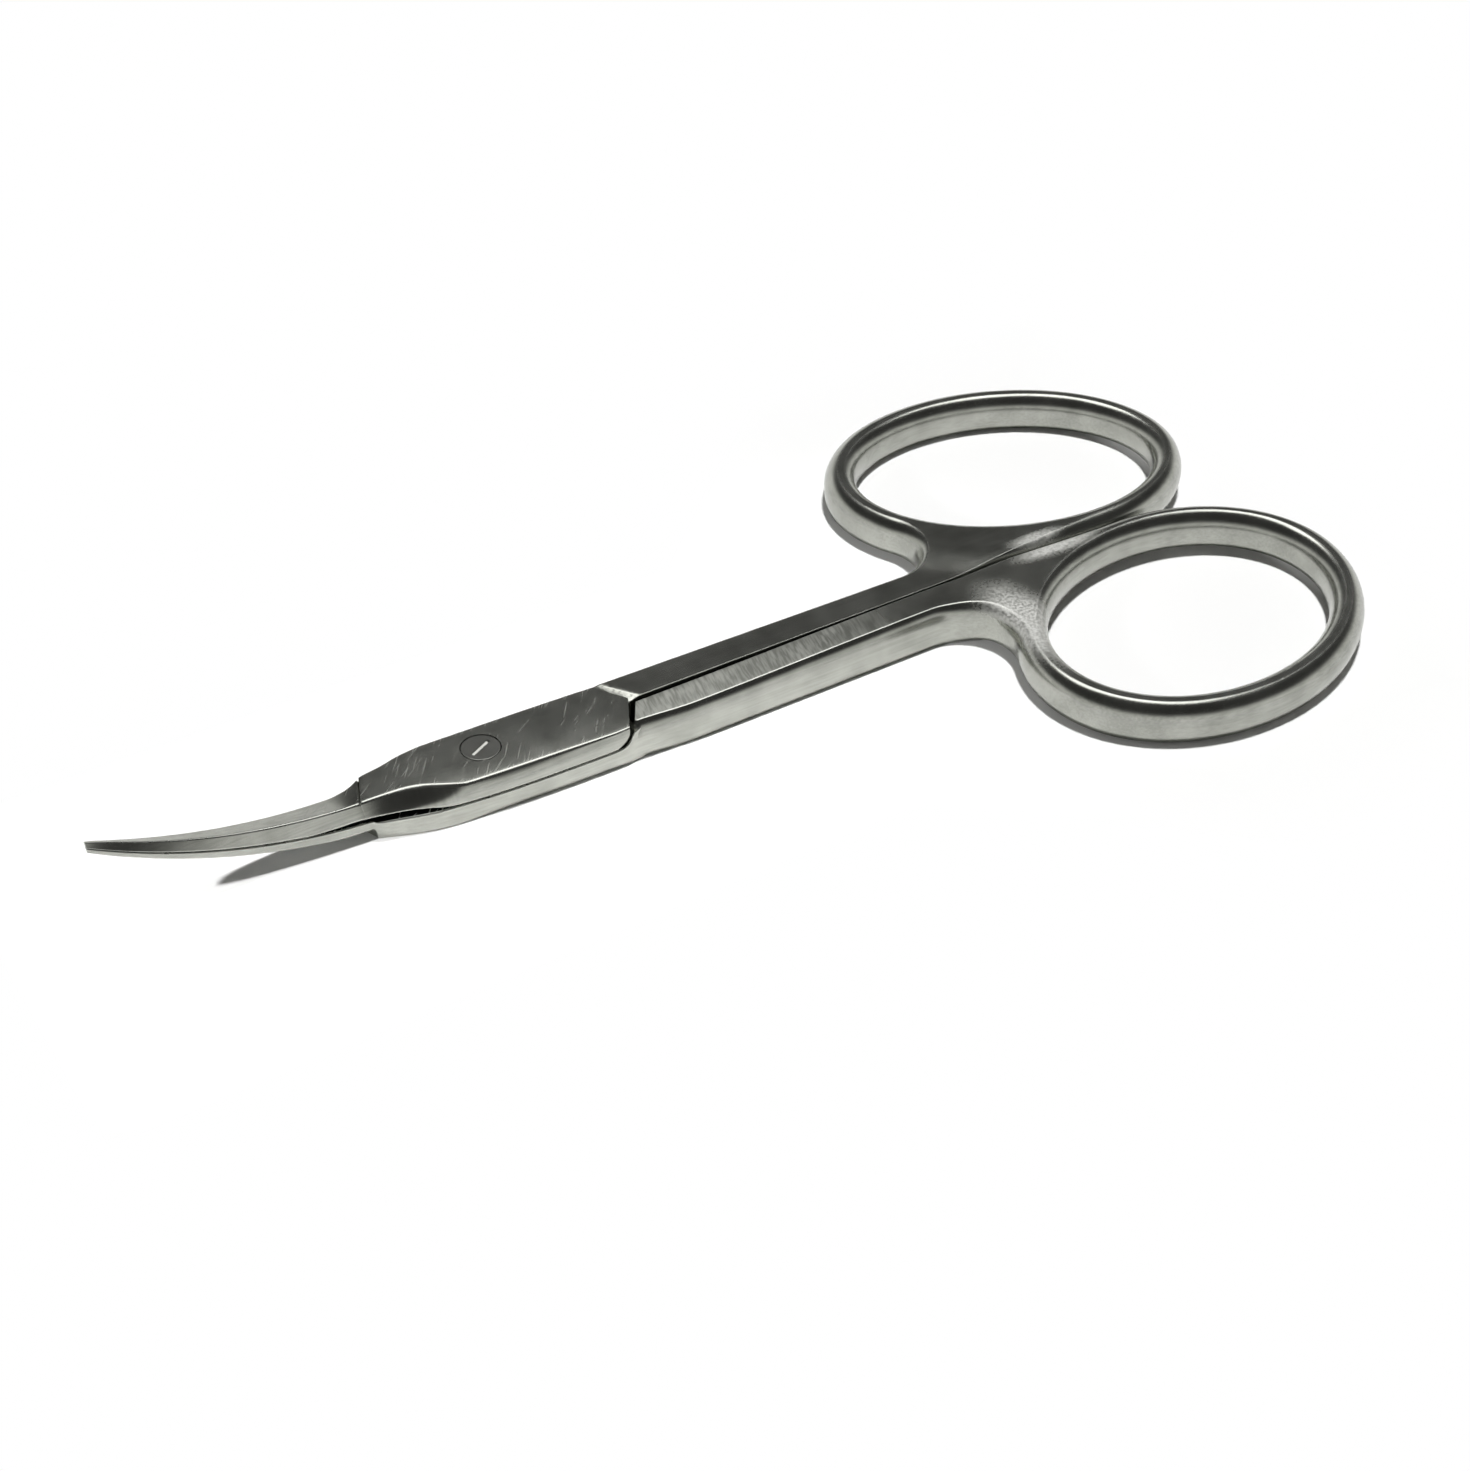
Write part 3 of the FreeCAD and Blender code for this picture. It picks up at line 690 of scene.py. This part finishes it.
def cut_away(piece, cutter):
    """Cut one closed mesh out of another and drop the cutter."""
    tool = piece.modifiers.new("cut", "BOOLEAN")
    tool.operation, tool.solver, tool.object = "DIFFERENCE", "EXACT", cutter
    shaped = bpy.data.meshes.new_from_object(piece.evaluated_get(bpy.context.evaluated_depsgraph_get()))
    piece.modifiers.clear()
    piece.data = shaped
    bpy.data.objects.remove(cutter)
    shaped.shade_smooth()
    shaped.set_sharp_from_angle(angle=math.radians(SHARP_DEGREES))


print("edges stay sharp from", SHARP_DEGREES, "degrees")

# %% Where the web is left rough and painted with a highlight
ROUGH_SHEEN_OVALS = {BACK: [((45.0, 0.9), (3.2, 0.8))],
               FRONT: [((38.2, -7.4), (3.4, 7.0)), ((45.5, -1.0), (5.0, 1.1))]}
ROUGH_FADE, ROUGH_TOP = (0.25, 1.0), (2.6, 3.0)


def ground_and_sheen_patch(points, side):
    """Where the web is left rough and gets a painted highlight: ovals on its top, 1 in the middle and 0 at
    the rim.
    """
    x, y, z = points.T
    total = np.zeros(len(points))
    for middle, halves in ROUGH_SHEEN_OVALS[side]:
        reach = np.hypot((x - middle[0]) / halves[0], (y - middle[1]) / halves[1])
        total = np.maximum(total, 1 - ease(reach, *ROUGH_FADE))
    return total * ease(z, *ROUGH_TOP)


print("rough points", [int((ground_and_sheen_patch(handles[side][0], side) > 0).sum()) for side in (BACK, FRONT)])

# %% Build the halves
SEAT_ABOVE = [(0, 0.5), (0.89, 0.5), (0.89, 2.36), (1.36, 2.36), (1.36, 4.0), (0, 4.0)]
SEAT_BELOW = [(0, -1.0), (0.87, -1.0), (0.87, 2.5), (0, 2.5)]
CROSS_FADE = 25.0, 34.0


def forged_half(name, side, seat):
    """Bar and handle in one mesh, with the bar bored for the screw by the given seat profile."""
    points, faces, wear_and_highlight, grind = bars[side]
    none = np.zeros(len(points))
    half = steel_piece(name, points, faces, {"wear_and_highlight": wear_and_highlight, "grind": grind, "cross": none, "ground": none})
    cut_away(half, turned_piece("seat_cutter", seat))
    points, faces, wear_and_highlight = handles[side]
    cross = (1 - ease(points[:, 0], *CROSS_FADE)) * float(side == FRONT)
    # The ground mark holds the rough web skin together with its painted highlight.
    none, rough = np.zeros(len(points)), ground_and_sheen_patch(points, side)
    # The rubbing marks on the handle also set a painted highlight along its creases.
    marks = {"wear_and_highlight": wear_and_highlight, "grind": none, "cross": cross, "ground": rough}
    handle = steel_piece(name + "_handle", points, faces, marks)
    joined = bmesh.new()
    joined.from_mesh(half.data)
    joined.from_mesh(handle.data)
    joined.to_mesh(half.data)
    joined.free()
    bpy.data.objects.remove(handle)
    print(name, len(half.data.vertices), "points", len(half.data.polygons), "faces")
    return half


upper = forged_half("upper_half_forging", BACK, SEAT_ABOVE)
lower = forged_half("lower_half_forging", FRONT, SEAT_BELOW)

# %% [markdown]
# ## The pivot screw
# A cheese head, flush with the block, with a rounded rim and a straight slot. A cylinder with a Bevel
# would do for the head alone, but one turned profile gives head, rim and shank together. The slot is
# milled out with a small box of the slot's real size, whose bottom slopes a little.

# %% Turn and slot the screw
HEAD_TOP, RIM_ROUND, RIM_R, RIM_Z = 2.99, 0.03, 1.26, 2.96
SLOT_LENGTH, SLOT_WIDTH, SLOT_DEPTH, SLOT_SLOPE = 1.75, 0.26, 0.12, 0.30
SLOT_TURN, CUTTER_HALF = math.radians(27.0), 0.5
RIM = [(RIM_R + RIM_ROUND * math.cos(turn), RIM_Z + RIM_ROUND * math.sin(turn))
       for turn in np.linspace(0, math.pi / 2, 5)]
SHANK = [(0, 0.02), (0.78, 0.02), (0.85, 0.10), (0.85, 2.40), (1.29, 2.40)]
HEAD = [(1.23, HEAD_TOP), (1.0, HEAD_TOP), (0, HEAD_TOP)]


def slot_box():
    """Eight corners of an upright box turned about the axis; z below is moved by slope x place across."""
    u, v, w = (np.array([-1.0, 1.0]) * s for s in (SLOT_LENGTH / 2, SLOT_WIDTH / 2, CUTTER_HALF))
    corners = np.stack(np.meshgrid(u, v, w, indexing="ij"), -1).reshape(-1, 3)
    c, s = math.cos(SLOT_TURN), math.sin(SLOT_TURN)
    corners[:, 2] += SLOT_SLOPE * corners[:, 1] * (corners[:, 2] < 0)
    corners = corners @ np.array([[c, s, 0], [-s, c, 0], [0, 0, 1]])
    corners += (0, SCREW_Y, HEAD_TOP - SLOT_DEPTH + CUTTER_HALF)
    sides = [(0, 1, 3, 2), (4, 6, 7, 5), (0, 4, 5, 1), (2, 3, 7, 6), (0, 2, 6, 4), (1, 5, 7, 3)]
    return steel_piece("slot_cutter", corners, sides, {})


screw = turned_piece("slotted_screw", SHANK + RIM + HEAD)
cut_away(screw, slot_box())
print("screw", len(screw.data.polygons), "faces")

# %% [markdown]
# Each finished piece now takes the place of its packed node and rides on that node's body. The screw
# is threaded into the lower half, so it rides with that half and stays while the upper one turns.

# %% Tie the pieces to their bodies
for piece, body, node, finish in (
    (upper, "upper_half", "upper_half", "satin_steel"),
    (lower, "lower_half", "lower_half", "satin_steel"),
    (screw, "lower_half", "pivot_screw", "screw_steel"),
):
    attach(piece, body)
    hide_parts(node)
    print(piece.name, "rides on", body)

# %% [markdown]
# ## Writing a finish as sums
# A steel finish is mostly arithmetic: grain plus scratches, more here and less there. Wiring that by
# hand hides the sum, so one small class wraps a socket. Its operators add Math nodes, and one method
# adds every other node, with the node's settings set first and its sockets filled after.

# %% A socket that does sums


class Wire:
    """One output socket of a shader tree; + - and * on it add Math nodes."""

    def __init__(self, tree, socket=None):
        self.tree, self.socket = tree, socket

    def node(self, kind, settings=(), sockets=(), output=0):
        """Add a node: settings first, then a value or a wire for each named socket."""
        added = self.tree.nodes.new(kind)
        for key, value in dict(settings).items():
            setattr(added, key, value)
        for key, value in dict(sockets).items():
            if isinstance(value, Wire):
                self.tree.links.new(value.socket, added.inputs[key])
            else:
                added.inputs[key].default_value = value
        return Wire(self.tree, added.outputs[output])

    def math(self, operation, first, second=0.0, clamp=False):
        """A Math node on two values or wires, held to 0..1 if asked."""
        settings = {"operation": operation, "use_clamp": clamp}
        return self.node("ShaderNodeMath", settings, {0: first, 1: second})

    def __add__(self, other):
        return self.math("ADD", self, other)

    def __radd__(self, other):
        return self.math("ADD", other, self)

    def __sub__(self, other):
        return self.math("SUBTRACT", self, other)

    def __rsub__(self, other):
        return self.math("SUBTRACT", other, self)

    def __mul__(self, other):
        return self.math("MULTIPLY", self, other)

    def __rmul__(self, other):
        return self.math("MULTIPLY", other, self)

    def between(self, low, high):
        """0 at low, 1 at high, held at both ends."""
        return self.math("MULTIPLY", self - low, 1.0 / (high - low), clamp=True)


print("sums ready:", [name for name in vars(Wire) if name.startswith("__r")])

# %% Helpers for the finishes


def start_material(name):
    """A new material, its Principled shader, and a wire to build the rest of its tree from."""
    material = bpy.data.materials.new(name)
    material.use_nodes = True
    return material, material.node_tree.nodes["Principled BSDF"], Wire(material.node_tree)


def object_place(wire):
    """Object coordinates as they are, in metres, and the same in millimetres."""
    place = wire.node("ShaderNodeTexCoord", output=3)
    return place, wire.node("ShaderNodeVectorMath", {"operation": "SCALE"}, {0: place, "Scale": 1000.0})


def part_of(wire, vector, axis):
    """One of the three numbers of a vector: 0 is X, 1 is Y and 2 is Z."""
    return wire.node("ShaderNodeSeparateXYZ", {}, {0: vector}, output=axis)


def blend(wire, factor, first, second):
    """Colour mix: first where factor is 0, second where it is 1."""
    return wire.node("ShaderNodeMix", {"data_type": "RGBA"}, {0: factor, 6: first, 7: second}, output=2)


def noise(wire, vector, scale, detail=2.0):
    """Smooth noise about 0.5, with scale spots to the unit of the vector."""
    return wire.node("ShaderNodeTexNoise", {}, {"Vector": vector, "Scale": scale, "Detail": detail})


def stretched(wire, vector, scale, turn_deg=0.0):
    """Coordinates turned about Z, then scaled by axis: a small scale draws a pattern out that way."""
    rotation = (0, 0, math.radians(turn_deg))
    turned = wire.node("ShaderNodeMapping", {}, {"Vector": vector, "Rotation": rotation})
    return wire.node("ShaderNodeVectorMath", {"operation": "MULTIPLY"}, {0: turned, 1: scale})


def feed(wire, shader, sockets):
    """Link each wire to the shader's socket of that name."""
    for name, value in sockets.items():
        wire.tree.links.new(value.socket, shader.inputs[name])


helpers = (start_material, object_place, part_of, blend, noise, stretched, feed)
print("helpers ready:", [helper.__name__ for helper in helpers])

# %% [markdown]
# ## Satin steel
# Plain steel straight from the grinder: a grey, faintly olive metal with fine lines along it, a cloudy
# tone, a few short scratches on the block, coarser cross lines on the front shank and in the scoop of
# the neck, a rough skin on the webs, and rubbed edges. The webs and the edges are also lighter in
# colour, which is a painted highlight there. A photograph could be laid over it, but it would carry
# its own light with it. So points carry where each of these belongs, and the lines are noise drawn
# out along one axis, at the millimetre scale of the real ones.

# %% Where the marks of the steel lie
BLOCK_FADE, FLAT_FADE = (-10.5, -8.0), (0.95, 0.985)
satin, shader, wire = start_material("satin_steel")
_, mm = object_place(wire)
flat = part_of(wire, wire.node("ShaderNodeNewGeometry", output=1), 2).between(*FLAT_FADE)
block = 1 - part_of(wire, mm, 0).between(*BLOCK_FADE)
# These marks also carry painted highlights: along the creases and edges, and on the web patches.
wear_and_highlight, grind, cross, ground = (wire.node("ShaderNodeAttribute", {"attribute_name": name}, output=2)
                              for name in ("wear_and_highlight", "grind", "cross", "ground"))
cross_here = cross * flat
print("marks read by", len(wire.tree.nodes), "nodes")

# %% Clouds, lines and scratches
SCRATCHES = ((36.0, 0.3, 0.8), (52.0, 0.4, 0.7))
cloud, speck = noise(wire, mm, 0.45, 2.0), noise(wire, mm, 5.0, 3.0)
long_lines = noise(wire, stretched(wire, mm, (0.16, 6.0, 6.0)), 1.0)
cross_lines = noise(wire, stretched(wire, mm, (6.0, 0.8, 0.8), 12.0), 1.0, 3.0).between(0.32, 0.68)
grind_lines = noise(wire, stretched(wire, mm, (4.2, 0.5, 0.35)), 1.0)
worn = noise(wire, mm, 0.30, 4.0).between(0.42, 0.66)
scratches = sum(
    noise(wire, stretched(wire, mm, (8.5, length, 0.5), turn), 1.0, 1.0).between(0.62, 0.74) * strength
    for turn, length, strength in SCRATCHES
) * flat * block * (0.4 + 0.6 * worn)
grain = long_lines * (1 - cross_here) * (1 - grind) + cross_lines * cross_here + grind_lines * grind
# The rough skin on the webs also stands for a painted highlight there.
rough_skin_and_sheen = ground * (0.4 + 0.6 * speck.between(0.36, 0.60))
print("patterns made by", len(wire.tree.nodes), "nodes")

# %% Tone, roughness and relief of the satin
DARK_STEEL, LIGHT_STEEL = (0.285, 0.292, 0.262, 1), (0.46, 0.465, 0.428, 1)
# The rubbed and rough colours are lighter steel: partly real rubbing and a rough skin, partly painted
# highlights.
RUBBED_HIGHLIGHT_STEEL, ROUGH_SHEEN_STEEL = (0.58, 0.585, 0.55, 1), (0.66, 0.66, 0.63, 1)
shade = (0.55 * cloud.between(0.30, 0.70) + 0.45 * grain.between(0.25, 0.75)
         + 0.5 * cross_here * (cross_lines - 0.5))
tone = blend(wire, shade.between(0.0, 1.0), DARK_STEEL, LIGHT_STEEL)
# Creases and edges get the lighter colour, partly rubbing and partly a painted highlight.
tone = blend(wire, wear_and_highlight * 0.3, tone, RUBBED_HIGHLIGHT_STEEL)
# The web patches get the lighter rough colour, partly a rough skin and partly a painted highlight.
tone = blend(wire, rough_skin_and_sheen, tone, ROUGH_SHEEN_STEEL)
roughness = 0.21 + 0.05 * cloud + 0.10 * scratches + 0.10 * cross_here + 0.30 * rough_skin_and_sheen + 0.04 * wear_and_highlight
metallic = 1 - 0.20 * cross_here * cross_lines - 0.60 * rough_skin_and_sheen - 0.25 * scratches
height = grain * (1 + 2.0 * cross_here + 2.0 * grind) + 0.6 * scratches + 2.0 * speck * ground
relief = wire.node("ShaderNodeBump", {}, {"Strength": 0.7, "Distance": 1.4e-6, "Height": height})
feed(wire, shader, {"Base Color": tone, "Roughness": roughness, "Normal": relief, "Metallic": metallic})
print("satin steel", len(wire.tree.nodes), "nodes")

# %% [markdown]
# ## Turned screw
# The screw is turned on a lathe, so its lines run round its axis. Rings could be painted on a map of
# the head, but the distance from the axis is the one coordinate that this pattern needs. A Mapping
# node puts the axis at zero first.

# %% Screw steel
SCREW_DARK, SCREW_LIGHT = (0.34, 0.345, 0.318, 1), (0.44, 0.44, 0.41, 1)
TO_AXIS = (0.0191, -0.001, 0.0)
turned, shader, wire = start_material("screw_steel")
place, mm = object_place(wire)
centred = wire.node("ShaderNodeMapping", {}, {"Vector": place, "Location": TO_AXIS, "Scale": (1, 1, 0)})
radius = wire.node("ShaderNodeVectorMath", {"operation": "LENGTH"}, {0: centred}, output=1) * 1000.0
rings = wire.node("ShaderNodeTexNoise", {"noise_dimensions": "1D"},
                  {"W": radius, "Scale": 7.0, "Detail": 2.0})
cloud, speck = noise(wire, mm, 0.6), noise(wire, mm, 8.0)
tone = blend(wire, cloud.between(0.3, 0.7), SCREW_DARK, SCREW_LIGHT)
height = 0.5 * rings + 0.4 * speck
relief = wire.node("ShaderNodeBump", {}, {"Strength": 0.5, "Distance": 1.5e-6, "Height": height})
feed(wire, shader, {"Base Color": tone, "Roughness": 0.22 + 0.05 * speck, "Normal": relief})
shader.inputs["Metallic"].default_value = 1.0
print("screw steel", len(wire.tree.nodes), "nodes")

# %% Put the finishes on
for piece, material in ((upper, satin), (lower, satin), (screw, turned)):
    piece.data.materials.clear()
    piece.data.materials.append(material)
    print(piece.name, "is in", material.name)

# %% [markdown]
# ## Floor, light and camera
# The scissors lie on white paper. One white material lit evenly would need more light than the steel
# can bear. So close to the scissors the paper is plain and lit by the lamps, and keeps their shadows.
# Further out it glows by itself at strength 1, which is exactly white, and the glow answers only
# camera, glossy and transmission rays, so it lights nothing.

# %% Floor
FLOOR_HALF = 3.0
floor_mesh = bpy.data.meshes.new("floor")
corners = [(x * FLOOR_HALF, y * FLOOR_HALF, 0) for x, y in ((-1, -1), (1, -1), (1, 1), (-1, 1))]
floor_mesh.from_pydata(corners, [], [(0, 1, 2, 3)])
floor = bpy.data.objects.new("floor", floor_mesh)
bpy.context.scene.collection.objects.link(floor)
print("floor", 2 * FLOOR_HALF, "m wide")

# %% Paper
NARROW, WIDER, WIDENS = 7.0, 17.0, (4.0, 22.0)
LENGTH_HALF, GLOW_FADE = 42.0, (0.0, 9.0)


def seen_by(wire):
    """Wires that are 1 for camera rays, and 1 for glossy and transmission rays."""
    camera_ray, glossy, through = (wire.node("ShaderNodeLightPath", output=kind)
                                   for kind in ("Is Camera Ray", "Is Glossy Ray", "Is Transmission Ray"))
    return camera_ray, glossy + through


paper, shader, wire = start_material("paper")
wire.tree.nodes.remove(shader)
_, mm = object_place(wire)
along, across = part_of(wire, mm, 0), wire.math("ABSOLUTE", part_of(wire, mm, 1))
beside = across - (NARROW + WIDER * along.between(*WIDENS))
beyond = wire.math("ABSOLUTE", along) - LENGTH_HALF
far = wire.math("MAXIMUM", beside.between(*GLOW_FADE), beyond.between(*GLOW_FADE))
camera_ray, mirrored = seen_by(wire)
matt = wire.node("ShaderNodeBsdfDiffuse", {}, {"Color": (0.92, 0.92, 0.915, 1)})
white = wire.node("ShaderNodeEmission", {}, {"Color": (1, 1, 1, 1), "Strength": 1.0})
mixed = wire.node("ShaderNodeMixShader", {}, {0: far * (camera_ray + mirrored), 1: matt, 2: white})
feed(wire, wire.tree.nodes["Material Output"], {"Surface": mixed})
floor_mesh.materials.append(paper)
print("paper", len(wire.tree.nodes), "nodes")

# %% [markdown]
# Metal shows what stands round it, so its look is made by one softbox, high behind on the right, and
# not by the lamps that light the paper. Two small lamps give the shadows there, one low on the left
# for the blades and one above the rings. They are hidden from glossy rays, as a lamp behind a screen
# would be, so that the steel keeps its soft reflections.

# %% Lamps


def lamp(name, kind, position, power, target=(0.0, 0.0, 0.0), glossy=True, **settings):
    """A lamp of this kind and power in watts, turned from its position to the target."""
    data = bpy.data.lights.new(name, kind)
    data.energy = power
    for key, value in settings.items():
        setattr(data, key, value)
    holder = bpy.data.objects.new(name, data)
    bpy.context.scene.collection.objects.link(holder)
    holder.location = position
    holder.rotation_euler = (Vector(target) - Vector(position)).to_track_quat("-Z", "Y").to_euler()
    holder.visible_glossy, holder.visible_camera = glossy, False
    return holder


softbox = lamp("softbox", "AREA", (0.125, 0.145, 0.46), 0.98, shape="RECTANGLE", size=0.36, size_y=0.26)
softbox.visible_diffuse = False
lamp("blade_lamp", "SPOT", (-0.0986, -0.0032, 0.053), 0.37, target=(-0.035, 0.0, 0.0), glossy=False,
     shadow_soft_size=0.0015, spot_size=math.radians(39), spot_blend=0.7)
lamp("ring_lamp", "SPOT", (0.040, -0.010, 0.435), 7.4, target=(0.032, -0.002, 0.0), glossy=False,
     shadow_soft_size=0.022, spot_size=math.radians(19), spot_blend=0.55)

# %% [markdown]
# The walls of the studio are dim above and pale below, so that the tops of the steel stay dark and its
# rolled edges catch a light band. An image of a room could stand here, but two levels are enough. The
# camera sees white, and glossy and transmission rays see that white too, low on the walls.

# %% Walls
WALL_FADE, WHITE_FADE = (0.20, 0.42), (0.12, 0.34)
world = bpy.data.worlds.new("studio_walls")
bpy.context.scene.world = world
world.use_nodes = True
wire = Wire(world.node_tree)
level = part_of(wire, wire.node("ShaderNodeTexCoord"), 2)
pale, dim, clear = (wire.node("ShaderNodeBackground", {}, {"Color": (1, 1, 0.98, 1), "Strength": strength})
                    for strength in (0.55, 0.055, 1.0))
walls = wire.node("ShaderNodeMixShader", {}, {0: level.between(*WALL_FADE), 1: pale, 2: dim})
camera_ray, mirrored = seen_by(wire)
seen = camera_ray + mirrored * (1 - level.between(*WHITE_FADE))
mixed = wire.node("ShaderNodeMixShader", {}, {0: seen, 1: walls, 2: clear})
feed(wire, wire.tree.nodes["World Output"], {"Surface": mixed})
print("walls", len(wire.tree.nodes), "nodes")

# %% [markdown]
# The camera stands where the real one stood, in front on the left and above. Its place and lens are
# set as numbers, since a camera moved by eye never quite closes on the same outline.

# %% Camera
EYE = np.array([-68.335, -107.247, 96.314]) / 1000
TARGET = np.array([-2.564, -3.495, 0.0]) / 1000
SENSOR_MM, FOCAL_PIXELS, IMAGE_PIXELS = 36.0, 2335.47, 1471.0
camera = bpy.data.objects.new("camera", bpy.data.cameras.new("camera"))
bpy.context.scene.collection.objects.link(camera)
camera.location = EYE
camera.rotation_euler = Vector(TARGET - EYE).to_track_quat("-Z", "Y").to_euler()
camera.data.sensor_width = SENSOR_MM
camera.data.lens = FOCAL_PIXELS * SENSOR_MM / IMAGE_PIXELS
camera.data.clip_start = 0.005
bpy.context.scene.camera = camera
bpy.context.scene.view_settings.view_transform = "Standard"
print("lens", round(camera.data.lens, 2), "mm, distance", round(float(np.linalg.norm(EYE - TARGET)), 3), "m")

# %% [markdown]
